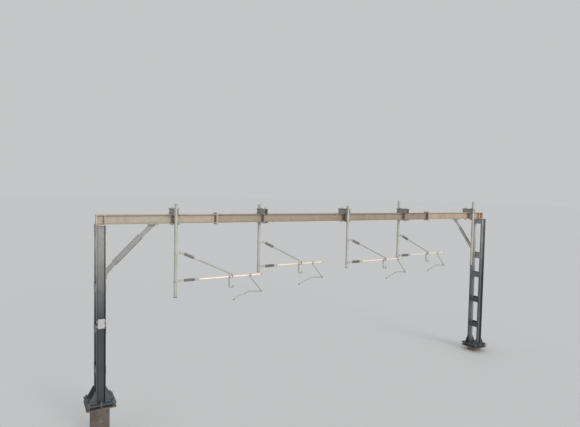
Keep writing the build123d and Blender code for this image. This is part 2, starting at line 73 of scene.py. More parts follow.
# Feet and columns
COLUMN_X = {"left": 0.0, "right": 18.9}
PLATE_TOP = {"left": 1.34, "right": 0.36}
PLATE_THICK = 0.04
LEVELLING_GAP = 0.09
PILE_RADIUS = 0.305
PILE_WELD_RADIUS = 0.007
STUD_REACH = 0.37
STUD_RADIUS = 0.021
STUD_PROUD = 0.075
STUD_COVERED = 0.042
WASHER_PLATE = (0.1, 0.1, 0.012)
COLUMN_HALF = 0.14
CHANNEL_BACK = 0.23
CHANNEL_TOE = 0.325
FLANGE_LINE = 0.2775
GUSSET_HALF = 0.009
GUSSET_HEIGHT = 0.38
GUSSET_REACH = 0.23
BATTEN_END = 0.3
BATTEN_FIRST = 1.05
BATTEN_PITCH = 1.35
BATTEN_HALF = 0.125
HEAD_BOLT_X = 0.09
HEAD_BOLT_Y = 0.11
WELD_RADIUS = 0.0065
WELD_RIPPLE = 0.016

# Boom, its joints and its braces
BOOM_LOW = 7.13
BOOM_HIGH = 7.445
BOOM_FLANGE = 0.0187
HEAD_PLATE = 0.025
SPLICES = (3.97, 14.93)
SPLICE_PLATE = 0.028
SPLICE_BOLT_Y = 0.09
SPLICE_BOLT_OUTSIDE = 0.026
SPLICE_BOLT_INSIDE = 0.085
STIFFENER_AT = 0.126
BRACE_RUN = {"left": 1.55, "right": 1.76}
BRACE_RISE = {"left": 1.59, "right": 1.96}
BRACE_SEAT = 0.02
BRACE_SEAT_LENGTH = 0.34
BRACE_FROM_COLUMN = 0.42
BRACE_FROM_BOOM = 0.59
BRACE_GUSSET_HALF = 0.008
BRACE_WELD_HALF = 0.125
SEAT_BOLT_ROWS = (-0.13, -0.045, 0.045, 0.13)
COLUMN_SEAT_BOLT_Y = 0.262
BOOM_SEAT_BOLT_Y = 0.125
GUSSET_BOLT_FROM_END = 0.055
GUSSET_BOLT_ALONG = 0.028
GUSSET_BOLT_ASIDE = 0.024

# Drop tubes and their clamps
TUBE_RADIUS = 0.05715
CLAMP_DEPTH = 0.2
CLAMP_WEB_FACE = 0.06595
CLAMP_LENGTH = 0.66
CLAMP_PAST_TUBE = 0.06
CLAMP_BOLT_RISE = 0.05
CLAMP_BOLT_FROM_NEAR_END = 0.03
CLAMP_BOLT_FROM_TUBE = 0.105
CLAMP_BOLT_FROM_FAR_END = 0.045
TUBE_WELD_RADIUS = 0.004
TUBE_WELD_OUT = 0.0015
TUBE_WELD_BELOW_TOP = 0.01
CAP_DEPTH = 0.022

# Identity plate
IDENTITY_HEIGHT = 3.945
IDENTITY_FACE = -0.335
IDENTITY_STRAP_FACE = -0.331
IDENTITY_STRAP_RISE = 0.0775
IDENTITY_SCREW_X = 0.085
STRAP_SCREW_X = 0.124

# Cantilevers. Places on one are measured from its drop tube's axis and from its lower pin's height.
TIE_RISE = 0.97
PIN_REACH = 0.16
PIN_RADIUS = 0.012
EAR_OUTER = 0.034
BAND_OUTER = 0.07115
BAND_HEIGHT = 0.09
NECK_LENGTH = 0.07
EYE_RADIUS = 0.024
EYE_HEIGHT = 0.043
EYE_PLAY = 0.0002
FERRULE = 0.055
SHED_ZONE = 0.42
SHED_COUNT = 6
LARGE_SHED = 0.062
SMALL_SHED = 0.052
CORE_RADIUS = 0.022
SOCKET = 0.095
SOCKET_BOLTS = (0.018, 0.058)
SOCKET_BOLT_OUT = 0.0055
MAIN_RADIUS = 0.038
TIE_RADIUS = 0.024
CLAMP_BAND_OUTER = 0.0473
KNUCKLE_RISE = 0.078
KNUCKLE_HALF = 0.022
EAR_LENGTH = 0.056
EAR_BOLT_FACE = 0.011
LUG_WIDTH = 0.034
LUG_BOLT_RISE = 0.026
TIE_AT = {1: 2.13, 2: 2.0, 3: 2.21, 4: 2.07}
ARM_AT = {1: 2.86, 2: 2.58, 3: 2.97, 4: 2.75}
HOOK_BEFORE_TIE = 0.115
SADDLE = (0.055, -0.356)
ARM_OUT = 0.52
ARM_DOWN = 0.67
FORK_FACE = 0.0253
CLIP = (-0.655, -0.884)
CLIP_HALF = 0.018
CLIP_BOLT_Y = 0.013
CLIP_BOLT_DROP = 0.006

# Turns what lies along X up onto Z
AXIS_UP = Matrix.Rotation(math.radians(-90), 4, "Y")

# Camera: degrees to the right, down and of roll, and the lens in millimetres on its sensor
CAMERA_PLACE = (-2.035, -15.67, 8.28)
CAMERA_TURN = (30.35, 2.62, 1.19)
LENS = 27.88
SENSOR = 36.0

# Where a finish changes, from the first number to the second. Those named squared are squares
# of the distance from the column's or the boom's middle.
BETWEEN_COLUMNS = (9.0, 10.0)
CORNER_FROM_SQUARED = (0.0068, 0.0112)
CORNER_TO_SQUARED = (0.0148, 0.0154)
OUTSIDE_WEB_SQUARED = (0.0545, 0.0565)
TOES_SQUARED = (0.103, 0.104)
FAR_WEB_FROM = (0.2, 0.21)
FAR_WEB_TO = (0.233, 0.236)
STIFFENER_HALF_SQUARED = (0.00006, 0.00008)
STIFFENER_RISE_SQUARED = (0.0193, 0.0205)


class Value:
    """What a node gives. Arithmetic on it adds the Math nodes that work the result out."""

    def __init__(self, finish, socket):
        self.finish = finish
        self.socket = socket

    def maths(self, operation, first, second):
        return self.finish.node("Math", {"operation": operation}, {0: first, 1: second})

    def __add__(self, other):
        return self.maths("ADD", self, other)

    __radd__ = __add__

    def __sub__(self, other):
        return self.maths("SUBTRACT", self, other)

    def __rsub__(self, other):
        return self.maths("SUBTRACT", other, self)

    def __mul__(self, other):
        return self.maths("MULTIPLY", self, other)

    __rmul__ = __mul__


class Finish:
    """Procedural material laid out on the object's own coordinates."""

    def __init__(self, name):
        self.material = bpy.data.materials.new(name)
        self.material.use_nodes = True
        self.tree = self.material.node_tree
        self.shader = self.tree.nodes["Principled BSDF"]
        self.place = self.node("TexCoord", {}, {}, "Object")

    def node(self, kind, settings, values, output=0):
        """Adds a node, sets it up, gives its sockets values or links, and returns one output."""
        made = self.tree.nodes.new("ShaderNode" + kind)
        for key, setting in settings.items():
            setattr(made, key, setting)
        for key, value in values.items():
            self.feed(made.inputs[key], value)
        return Value(self, made.outputs[output])

    def feed(self, socket, value):
        if isinstance(value, Value):
            self.tree.links.new(value.socket, socket)
        else:
            socket.default_value = value

    def surface(self, **values):
        """Feeds the shader's sockets, named with underscores for spaces."""
        for key, value in values.items():
            self.feed(self.shader.inputs[key.replace("_", " ")], value)
        return self.material

    def stretched(self, scale, turn=0.0):
        """Object coordinates turned about Y and scaled on each axis."""
        return self.node("Mapping", {}, {"Vector": self.place, "Rotation": (0, turn, 0), "Scale": scale})

    def noise(self, vector, scale, detail=4.0, roughness=0.55):
        sockets = {"Vector": vector, "Scale": scale, "Detail": detail, "Roughness": roughness}
        return self.node("TexNoise", {}, sockets)

    def crystals(self, vector, scale):
        """One random shade for each cell."""
        cell = self.node("TexVoronoi", {}, {"Vector": vector, "Scale": scale}, "Color")
        return self.node("SeparateColor", {}, {"Color": cell})

    def axis(self, letter):
        """Distance along X, Y or Z."""
        return self.node("SeparateXYZ", {}, {"Vector": self.place}, letter)

    def step(self, value, low, high):
        """0 below low, 1 above high, and smooth between."""
        sockets = {"Value": value, "From Min": low, "From Max": high}
        return self.node("MapRange", {"interpolation_type": "SMOOTHSTEP"}, sockets)

    def mix(self, share, first, second, blend="MIX"):
        """Colour between two colours."""
        settings = {"data_type": "RGBA", "blend_type": blend}
        return self.node("Mix", settings, {0: share, 6: shade(first), 7: shade(second)}, 2)

    def bump(self, relief, depth, strength):
        return self.node("Bump", {}, {"Height": relief, "Distance": depth, "Strength": strength})


def shade(colour):
    """A colour of three numbers gets its alpha, and a node's output stays as it is."""
    return colour if isinstance(colour, Value) else (*colour, 1.0)


def galvanised(
    name,
    bright,
    dull,
    dark,
    along=(1, 1, 0.06),
    rust=0.0,
    low=None,
    lengths=(),
    mouth=(),
    plates=(),
):
    """Dipped zinc: crystals, cloudy patches, rain runs, chalky spots and a little rust.

    The two heights in low paint shade on the finish: it darkens from the second one down to the first,
    where it takes the next tint on the left column and the last one on the right column. Each row of
    lengths tints what lies beyond its place along the boom, and each row of plates paints light
    on the stiffener there, against the shade on it. The three tints of mouth paint shade in the corners
    of a column's channels' webs, a highlight on their toe edges and light on the far channel's back.
    """
    f = Finish(name)
    crystal = f.crystals(f.place, 55.0)
    clouds = f.step(f.noise(f.place, 1.7, 5.0, 0.62), 0.34, 0.66)
    runs = f.step(f.noise(f.stretched(along), 16.0, 5.0, 0.6), 0.45, 0.68)
    grime = f.step(f.noise(f.place, 7.5, 6.0, 0.7), 0.52, 0.74)
    chalk = f.step(f.noise(f.place, 31.0, 3.0, 0.6), 0.63, 0.74)
    colour = f.mix(0.62 * clouds + 0.3 * crystal, dull, bright)
    colour = f.mix(0.3 * runs, colour, dark)
    colour = f.mix(0.22 * grime, colour, dark)
    colour = f.mix(0.25 * chalk, colour, (0.7, 0.69, 0.66))
    # Painted shade: the finish darkens towards the ground, to a tint of its own on each column.
    if low:
        bottom, top, left_column_shade, right_column_shade = low
        tint = f.mix(f.step(f.axis("X"), *BETWEEN_COLUMNS), left_column_shade, right_column_shade)
        shade_towards_ground = f.step(f.axis("Z") + 0.9 * f.noise(f.place, 2.3), bottom + 0.45, top + 0.45)
        colour = f.mix(1 - shade_towards_ground, colour, tint, "MULTIPLY")
    for start, tint in lengths:
        colour = f.mix(f.step(f.axis("X"), start - 0.01, start + 0.01), colour, tint, "MULTIPLY")
    if mouth:
        inside, toe_highlight, back = mouth
        beside = f.axis("X") - COLUMN_X["right"] * f.step(f.axis("X"), *BETWEEN_COLUMNS)
        sideways = beside * beside
        outwards = f.axis("Y") * f.axis("Y")
        # Painted shade in the corners of each channel's web, beside its flanges.
        corner_shade = f.step(sideways, *CORNER_FROM_SQUARED) - f.step(sideways, *CORNER_TO_SQUARED)
        colour = f.mix(corner_shade * f.step(outwards, *OUTSIDE_WEB_SQUARED), colour, inside, "MULTIPLY")
        # Painted highlight on the toe edges of the channels.
        colour = f.mix(f.step(outwards, *TOES_SQUARED), colour, toe_highlight, "MULTIPLY")
        # Painted light on the back of the far channel, which lies in the near channel's shadow.
        up_to_back = 1 - f.step(f.axis("Y"), *FAR_WEB_TO)
        colour = f.mix(up_to_back * f.step(f.axis("Y"), *FAR_WEB_FROM), colour, back, "MULTIPLY")
    # Painted light: each stiffener's plate is lightened against the shade on it.
    for place, tint in plates:
        beside = f.axis("X") - place
        level = f.axis("Z") - (BOOM_LOW + BOOM_HIGH) / 2
        plate = 1 - f.step(beside * beside, *STIFFENER_HALF_SQUARED)
        within = 1 - f.step(level * level, *STIFFENER_RISE_SQUARED)
        colour = f.mix(plate * within, colour, tint, "MULTIPLY")
    if rust:
        spots = f.step(f.noise(f.place, 19.0, 6.0, 0.72), 0.7 - rust, 0.8 - 0.6 * rust)
        colour = f.mix(0.85 * spots, colour, (0.21, 0.088, 0.032))
    relief = 0.6 * f.noise(f.place, 240.0, 3.0) + 0.4 * crystal
    return f.surface(
        Base_Color=colour,
        Metallic=0.3 * (1 - 0.6 * grime),
        Roughness=0.44 + 0.16 * clouds + 0.12 * grime,
        Normal=f.bump(relief, 0.0012, 0.35),
    )


def aluminium(name, bright, dull, turn=0.0, along=(0.5, 26, 26), metallic=0.55):
    """Drawn tube: fine lines along its length, dull patches and spots of dust."""
    f = Finish(name)
    lines = f.noise(f.stretched(along, turn), 9.0, 5.0, 0.65)
    patches = f.step(f.noise(f.place, 3.4, 5.0, 0.6), 0.4, 0.68)
    spots = f.step(f.noise(f.place, 26.0, 4.0, 0.65), 0.6, 0.74)
    colour = f.mix(0.55 * patches + 0.45 * f.step(lines, 0.35, 0.65), bright, dull)
    colour = f.mix(0.4 * spots, colour, (0.3, 0.28, 0.25))
    return f.surface(
        Base_Color=colour,
        Metallic=metallic - 0.3 * spots,
        Roughness=0.3 + 0.16 * patches + 0.1 * lines,
        Normal=f.bump(lines, 0.0006, 0.3),
    )


def silicone(name, colour, dust):
    """Soft grey rubber with dust on it and a faint fine grain."""
    f = Finish(name)
    settled = f.step(f.noise(f.place, 12.0, 5.0, 0.65), 0.42, 0.66)
    fine = f.noise(f.place, 150.0, 3.0)
    return f.surface(
        Base_Color=f.mix(0.75 * settled, colour, dust),
        Roughness=0.5 + 0.25 * settled,
        Coat_Weight=0.12 - 0.1 * settled,
        Normal=f.bump(fine, 0.0008, 0.25),
    )


def cast_metal(name, light, dark, grain=130.0):
    """Sand-cast or machined fitting: grainy skin, darker in patches."""
    f = Finish(name)
    patches = f.step(f.noise(f.place, 9.0, 5.0, 0.6), 0.38, 0.66)
    skin = f.noise(f.place, grain, 5.0, 0.7)
    return f.surface(
        Base_Color=f.mix(0.7 * patches + 0.25 * f.step(skin, 0.4, 0.7), light, dark),
        Metallic=0.5 - 0.3 * patches,
        Roughness=0.42 + 0.2 * patches,
        Normal=f.bump(skin, 0.0016, 0.4),
    )


def buried_steel(name):
    """Tube at the ground: worn zinc above, rust and dried mud towards its foot."""
    f = Finish(name)
    clouds = f.step(f.noise(f.place, 3.0, 6.0, 0.65), 0.36, 0.64)
    scale = f.step(f.noise(f.place, 22.0, 6.0, 0.7), 0.42, 0.62)
    rise = f.step(f.axis("Z") + 0.5 * f.noise(f.place, 4.0), 0.25, 0.75)
    colour = f.mix(clouds, (0.1, 0.1, 0.098), (0.16, 0.155, 0.145))
    colour = f.mix(scale * (1 - 0.5 * rise), colour, (0.19, 0.085, 0.038))
    mud = f.step(f.axis("Z") + 0.22 * f.noise(f.place, 13.0), 0.12, 0.3)
    colour = f.mix(1 - mud, colour, (0.2, 0.165, 0.12))
    return f.surface(
        Base_Color=colour,
        Metallic=0.25 * rise * mud,
        Roughness=0.6 + 0.25 * scale,
        Normal=f.bump(f.noise(f.place, 60.0, 6.0, 0.7), 0.004, 0.5),
    )


def enamel(name):
    """Off-white plate with rain runs and yellowed patches."""
    f = Finish(name)
    runs = f.step(f.noise(f.stretched((1, 1, 0.08)), 34.0, 4.0), 0.5, 0.7)
    age = f.step(f.noise(f.place, 9.0, 5.0), 0.4, 0.7)
    colour = f.mix(0.45 * age, (0.48, 0.48, 0.47), (0.38, 0.37, 0.335))
    return f.surface(
        Base_Color=f.mix(0.4 * runs, colour, (0.27, 0.26, 0.235)),
        Roughness=0.35 + 0.2 * age,
        Coat_Weight=0.2 - 0.15 * age,
        Normal=f.bump(age, 0.0004, 0.2),
    )


def weld_metal(name):
    """Ripples laid one on the other, dulled by zinc."""
    f = Finish(name)
    skin = f.noise(f.place, 90.0, 4.0, 0.6)
    return f.surface(
        Base_Color=f.mix(f.step(skin, 0.4, 0.65), (0.13, 0.13, 0.13), (0.27, 0.265, 0.25)),
        Metallic=0.35 + 0.2 * skin,
        Roughness=0.4 + 0.2 * skin,
        Normal=f.bump(skin, 0.002, 0.5),
    )


foot_zinc = cast_metal("foot_bolt_zinc", (0.2, 0.21, 0.22), (0.12, 0.127, 0.135), grain=190.0)
zinc_bolt = cast_metal("bolt_zinc", (0.4, 0.4, 0.39), (0.24, 0.235, 0.22), grain=190.0)
pin_steel = cast_metal("pin_stainless", (0.5, 0.49, 0.47), (0.3, 0.29, 0.27), grain=260.0)
casting = cast_metal("cast_fitting", (0.6, 0.585, 0.555), (0.44, 0.43, 0.405))
cast_aluminium = cast_metal("cast_aluminium", (0.62, 0.59, 0.53), (0.45, 0.43, 0.39))
grey_silicone = silicone("insulator_silicone", (0.27, 0.25, 0.235), (0.36, 0.335, 0.31))
pale_silicone = silicone("tie_insulator_silicone", (0.3, 0.295, 0.275), (0.39, 0.38, 0.35))
weld = weld_metal("weld_bead")
cap_rubber = silicone("cap_rubber", (0.1, 0.1, 0.1), (0.2, 0.19, 0.18))

STIFFENERS = [x + hand * STIFFENER_AT for x in COLUMN_X.values() for hand in (-1, 1)]
FINISHES = {
    "pile_steel": buried_steel("pile_steel"),
    "fitting_steel": galvanised(
        "plate_zinc",
        bright=(0.38, 0.385, 0.385),
        dull=(0.27, 0.275, 0.28),
        dark=(0.17, 0.175, 0.18),
        rust=0.02,
        # Painted shade, darker towards the ground.
        low=(2.4, 6.8, (0.28, 0.325, 0.36), (0.19, 0.225, 0.27)),
    ),
    "upright_steel": galvanised(
        "column_zinc",
        bright=(0.365, 0.355, 0.33),
        dull=(0.27, 0.265, 0.255),
        dark=(0.17, 0.175, 0.175),
        # Painted shade, darker towards the ground.
        low=(3.6, 6.9, (0.19, 0.215, 0.25), (0.35, 0.405, 0.46)),
        # Painted shade in the corners of the channels' webs, a painted highlight on their toe edges and
        # painted light on the far channel's back.
        mouth=((0.4, 0.42, 0.46), (1.6, 1.58, 1.52), (2.0, 1.97, 1.9)),
    ),
    "boom_steel": galvanised(
        "boom_zinc",
        bright=(0.495, 0.43, 0.35),
        dull=(0.39, 0.335, 0.27),
        dark=(0.265, 0.235, 0.19),
        along=(0.35, 1, 0.22),
        lengths=((SPLICES[0], (0.87, 0.82, 0.78)), (SPLICES[1], (1.36, 1.35, 1.33))),
        # Painted light on the stiffeners.
        plates=[(x, (1.5, 1.5, 1.48)) for x in STIFFENERS],
    ),
    "brace_steel": galvanised(
        "brace_zinc",
        bright=(0.36, 0.35, 0.33),
        dull=(0.27, 0.265, 0.25),
        dark=(0.17, 0.165, 0.155),
    ),
    "clamp_steel": galvanised(
        "clamp_zinc",
        bright=(0.39, 0.385, 0.365),
        dull=(0.29, 0.285, 0.27),
        dark=(0.19, 0.19, 0.18),
    ),
    "drop_tube_steel": galvanised(
        "drop_tube_zinc",
        bright=(0.56, 0.54, 0.495),
        dull=(0.43, 0.41, 0.37),
        dark=(0.3, 0.285, 0.26),
    ),
    "bracket_steel": casting,
    "identity_white": enamel("identity_enamel"),
    "insulator_grey": grey_silicone,
    "tube_aluminium": aluminium(
        "main_tube_aluminium", bright=(0.9, 0.82, 0.69), dull=(0.74, 0.67, 0.56), metallic=0.35
    ),
    "tie_aluminium": aluminium(
        "tie_aluminium", bright=(0.5, 0.49, 0.43), dull=(0.37, 0.36, 0.315), turn=0.47
    ),
    "registration_aluminium": aluminium(
        "fitting_aluminium", bright=(0.54, 0.51, 0.45), dull=(0.37, 0.35, 0.31), along=(9, 9, 9)
    ),
    "steady_aluminium": aluminium(
        "steady_arm_aluminium", bright=(0.4, 0.395, 0.35), dull=(0.28, 0.275, 0.245), along=(0.8, 20, 20)
    ),
}

for part in frame["record"]["subparts"]:
    for slot in frame["nodes"][part["node"]].material_slots:
        slot.material = FINISHES[part["material_slot"]]


@contextmanager
def editing(piece):
    """Edit mode on one piece."""
    bpy.ops.object.select_all(action="DESELECT")
    bpy.context.view_layer.objects.active = piece
    piece.select_set(True)
    bpy.ops.object.mode_set(mode="EDIT")
    yield
    bpy.ops.object.mode_set(mode="OBJECT")


def add(kind, **place):
    """New primitive, alone in the selection."""
    bpy.ops.object.select_all(action="DESELECT")
    getattr(bpy.ops.mesh, f"primitive_{kind}_add")(**place)
    return bpy.context.object


def pick_faces(piece, wanted):
    """Selects only the faces that pass a test."""
    bpy.ops.mesh.select_mode(type="FACE")
    bpy.ops.mesh.select_all(action="DESELECT")
    mesh = bmesh.from_edit_mesh(piece.data)
    for face in mesh.faces:
        if wanted(face):
            face.select_set(True)
    mesh.select_flush_mode()
    bmesh.update_edit_mesh(piece.data)


def turn_outwards():
    """Merges doubled vertices and turns every normal outwards."""
    bpy.ops.mesh.select_all(action="SELECT")
    bpy.ops.mesh.remove_doubles(threshold=0.00002)
    bpy.ops.mesh.normals_make_consistent(inside=False)


def stacked(sides, radius, steps):
    """Solid on +Z from the origin. Each step extrudes its top by a rise and scales it to a radius."""
    piece = add("circle", vertices=sides, radius=radius, fill_type="NGON")
    with editing(piece):
        bpy.ops.mesh.select_all(action="SELECT")
        for rise, wide in steps:
            bpy.ops.mesh.extrude_region_move(TRANSFORM_OT_translate={"value": (0, 0, rise)})
            ratio = wide / radius
            bpy.ops.transform.resize(value=(ratio, ratio, 1))
            radius = wide
        turn_outwards()
    return piece


def turned(profile, steps=28):
    """Solid of revolution about X: one vertex is extruded along the profile, then spun."""
    points = [Vector((x, 0, radius)) for x, radius in profile]
    piece = add("plane", size=0.01)
    with editing(piece):
        bpy.ops.mesh.select_mode(type="VERT")
        bpy.ops.mesh.merge(type="CENTER")
        bpy.ops.transform.translate(value=points[0])
        for start, end in zip(points, points[1:]):
            bpy.ops.mesh.extrude_vertices_move(TRANSFORM_OT_translate={"value": end - start})
        bpy.ops.mesh.select_all(action="SELECT")
        bpy.ops.mesh.spin(steps=steps, angle=math.tau, center=(0, 0, 0), axis=(1, 0, 0))
        turn_outwards()
    return piece


def hoop(radius, thick, count=8):
    """Round profile of a ring about X, for turned."""
    angles = [step * math.tau / count for step in range(count + 1)]
    return [(thick * math.cos(angle), radius + thick * math.sin(angle)) for angle in angles]


def slab(size, place, edge=0.002):
    """Plate with its edges rounded."""
    piece = add("cube", size=1, location=place, scale=size)
    bpy.ops.object.transform_apply(location=True, rotation=False, scale=True)
    with editing(piece):
        bpy.ops.mesh.select_all(action="SELECT")
        bpy.ops.mesh.bevel(offset=edge, segments=2, affect="EDGES")
    return piece


def joined(name, parts):
    """Parts made one piece."""
    bpy.ops.object.select_all(action="DESELECT")
    for part in parts:
        part.select_set(True)
    bpy.context.view_layer.objects.active = parts[0]
    bpy.ops.object.join()
    parts[0].name = name
    parts[0].data.name = name
    return parts[0]


def coated(piece, material, angle=32.0):
    """Gives a part its material and smooth faces up to an angle."""
    piece.data.materials.append(material)
    bpy.ops.object.select_all(action="DESELECT")
    bpy.context.view_layer.objects.active = piece
    piece.select_set(True)
    bpy.ops.object.shade_smooth_by_angle(angle=math.radians(angle))
    return piece


def moved(piece, matrix):
    """Moves a part's mesh and leaves its object at the origin."""
    piece.data.transform(piece.matrix_world)
    piece.matrix_world = Matrix.Identity(4)
    piece.data.transform(matrix)
    return piece


def facing(point, way):
    """Place at a point with +Z turned to a direction."""
    turn = Vector(way).to_track_quat("Z", "Y").to_matrix().to_4x4()
    return Matrix.Translation(point) @ turn


def set_out(name, model, places):
    """One piece made of a copy of a model at each place."""
    copies = []
    for place in places:
        copy = model.copy()
        copy.data = model.data.copy()
        bpy.context.scene.collection.objects.link(copy)
        copies.append(moved(copy, place))
    return joined(name, copies)


def fit(piece, body, slot, *stands_for):
    """Rides a finished piece on a body and hides the nodes that it stands for. Its slot is not used."""
    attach(piece, body)
    if stands_for:
        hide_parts(*stands_for)


def bolt_head(radius, height, washer, end, skin=zinc_bolt):
    """Washer, chamfered hexagon and the bolt's rounded end, on +Z from the origin."""
    thick = 0.2 * height
    ring = stacked(18, washer, [(0.8 * thick, washer), (0.2 * thick, 0.95 * washer)])
    steps = [(0.1 * height, radius), (0.78 * height, radius), (0.12 * height, 0.86 * radius)]
    hexagon = stacked(6, 0.9 * radius, steps)
    thread = stacked(14, 0.55 * radius, [(end, 0.55 * radius), (0.12 * radius, 0.43 * radius)])
    moved(hexagon, Matrix.Translation((0, 0, thick)))
    moved(thread, Matrix.Translation((0, 0, thick + 0.99 * height)))
    return joined("bolt_model", [coated(part, skin) for part in (ring, hexagon, thread)])


large_nut = bolt_head(radius=0.037, height=0.03, washer=0.05, end=0.0, skin=foot_zinc)
middle_bolt = bolt_head(radius=0.02, height=0.015, washer=0.024, end=0.012)
plate_bolt = bolt_head(radius=0.017, height=0.011, washer=0.019, end=0.003)
small_bolt = bolt_head(radius=0.011, height=0.008, washer=0.014, end=0.006)
models = [large_nut, middle_bolt, plate_bolt, small_bolt]


def threaded_end(radius, length):
    """Stud end on +Z from the origin with the rings of its thread."""
    half_pitch = 0.00275
    crest, root = radius + 0.0008, radius - 0.0016
    steps = [(half_pitch, crest), (half_pitch, root)] * int(length / (2 * half_pitch))
    return coated(stacked(20, root, steps + [(0.003, 0.8 * radius)]), foot_zinc, 20)


def bead(length):
    """Weld bead on +Z from the origin, with ripples along it."""
    count = 2 * max(2, round(length / WELD_RIPPLE))
    steps = [(length / count, WELD_RADIUS if index % 2 else 0.84 * WELD_RADIUS) for index in range(count)]
    return coated(stacked(8, 0.6 * WELD_RADIUS, steps), weld, 60)


def welds(name, slot, runs):
    """Beads along straight runs, one model for each length."""
    by_length = {}
    for start, end in runs:
        way = Vector(end) - Vector(start)
        by_length.setdefault(round(way.length, 4), []).append(facing(Vector(start), way))
    rows = []
    for length, places in by_length.items():
        model = bead(length)
        rows.append(set_out("beads", model, places))
        bpy.data.objects.remove(model)
    fit(joined(name, rows), "portal_frame", slot)


def batten_levels(side):
    """Middle heights of the column's battens, as the frame has them."""
    levels = [BOOM_LOW - HEAD_PLATE - BATTEN_HALF]
    z = PLATE_TOP[side] + BATTEN_FIRST
    while z < BOOM_LOW - BRACE_RISE[side] - BRACE_SEAT_LENGTH:
        levels.append(z)
        z += BATTEN_PITCH
    return levels


# Feet: a plate washer, a nut and the stud's thread over it
thread = threaded_end(STUD_RADIUS, STUD_PROUD - STUD_COVERED)
models.append(thread)
around = [(a, b) for a in (-1, 0, 1) for b in (-1, 0, 1) if a or b]
washer_middle = Vector((0, 0, WASHER_PLATE[2] / 2))
washer_top = Vector((0, 0, WASHER_PLATE[2]))
nut_top = Vector((0, 0, STUD_COVERED))
for side in SIDES:
    x, top = COLUMN_X[side], PLATE_TOP[side]
    spots = [Vector((x + a * STUD_REACH, b * STUD_REACH, top)) for a, b in around]
    washers = [coated(slab(WASHER_PLATE, spot + washer_middle), foot_zinc) for spot in spots]
    nuts = set_out("nuts", large_nut, [facing(spot + washer_top, (0, 0, 1)) for spot in spots])
    ends = set_out("threads", thread, [facing(spot + nut_top, (0, 0, 1)) for spot in spots])
    fit(joined(f"{side}_foot_nuts", [nuts, ends, *washers]), "portal_frame", "fitting_steel")

# Feet: welds of the gussets, the channels and the pile's head plate
for side in SIDES:
    x, top = COLUMN_X[side], PLATE_TOP[side]
    runs = []
    for hand in (-1, 1):
        face = x + hand * COLUMN_HALF
        tip = face + hand * GUSSET_REACH
        for y in (-FLANGE_LINE, FLANGE_LINE):
            for near in (y - GUSSET_HALF, y + GUSSET_HALF):
                runs.append(((face, near, top), (tip, near, top)))
                runs.append(((face, near, top), (face, near, top + GUSSET_HEIGHT)))
    for y in (-CHANNEL_BACK, CHANNEL_BACK):
        toe = math.copysign(CHANNEL_TOE, y)
        for z in (top, BOOM_LOW - HEAD_PLATE):
            runs.append(((x - COLUMN_HALF, y, z), (x + COLUMN_HALF, y, z)))
            for face in (x - COLUMN_HALF, x + COLUMN_HALF):
                runs.append(((face, y, z), (face, toe, z)))
    welds(f"{side}_column_welds", "fitting_steel", runs)
    collar = coated(turned(hoop(PILE_RADIUS, PILE_WELD_RADIUS), 72), weld, 60)
    low = top - 2 * PLATE_THICK - LEVELLING_GAP
    moved(collar, Matrix.Translation((x, 0, low)) @ AXIS_UP)
    collar.name = f"{side}_pile_weld"
    fit(collar, "portal_frame", "pile_steel")

# Columns: welds round the battens' laps on the channels, and the head bolts
for side in SIDES:
    x = COLUMN_X[side]
    runs = []
    for z in batten_levels(side):
        low, high = z - BATTEN_HALF, z + BATTEN_HALF
        for face in (x - COLUMN_HALF, x + COLUMN_HALF):
            for back in (-1, 1):
                end = back * BATTEN_END
                runs.append(((face, end, low), (face, end, high)))
                for level in (low, high):
                    runs.append(((face, back * CHANNEL_BACK, level), (face, end, level)))
    welds(f"{side}_batten_welds", "fitting_steel", runs)
    places = []
    for dx in (-HEAD_BOLT_X, HEAD_BOLT_X):
        for y in (-HEAD_BOLT_Y, HEAD_BOLT_Y):
            places.append(facing((x + dx, y, BOOM_LOW + BOOM_FLANGE), (0, 0, 1)))
            places.append(facing((x + dx, y, BOOM_LOW - HEAD_PLATE), (0, 0, -1)))
    fit(set_out(f"{side}_head_bolts", plate_bolt, places), "portal_frame", "boom_steel")

# Boom splices: bolts through both end plates
splice_rows = (
    BOOM_LOW - SPLICE_BOLT_OUTSIDE,
    BOOM_LOW + SPLICE_BOLT_INSIDE,
    BOOM_HIGH - SPLICE_BOLT_INSIDE,
    BOOM_HIGH + SPLICE_BOLT_OUTSIDE,
)
for side, x in zip(SIDES, SPLICES):
    places = []
    for y in (-SPLICE_BOLT_Y, SPLICE_BOLT_Y):
        for z in splice_rows:
            for face in (-1, 1):
                places.append(facing((x + face * SPLICE_PLATE, y, z), (face, 0, 0)))
    fit(set_out(f"{side}_splice_bolts", plate_bolt, places), "portal_frame", "boom_steel")

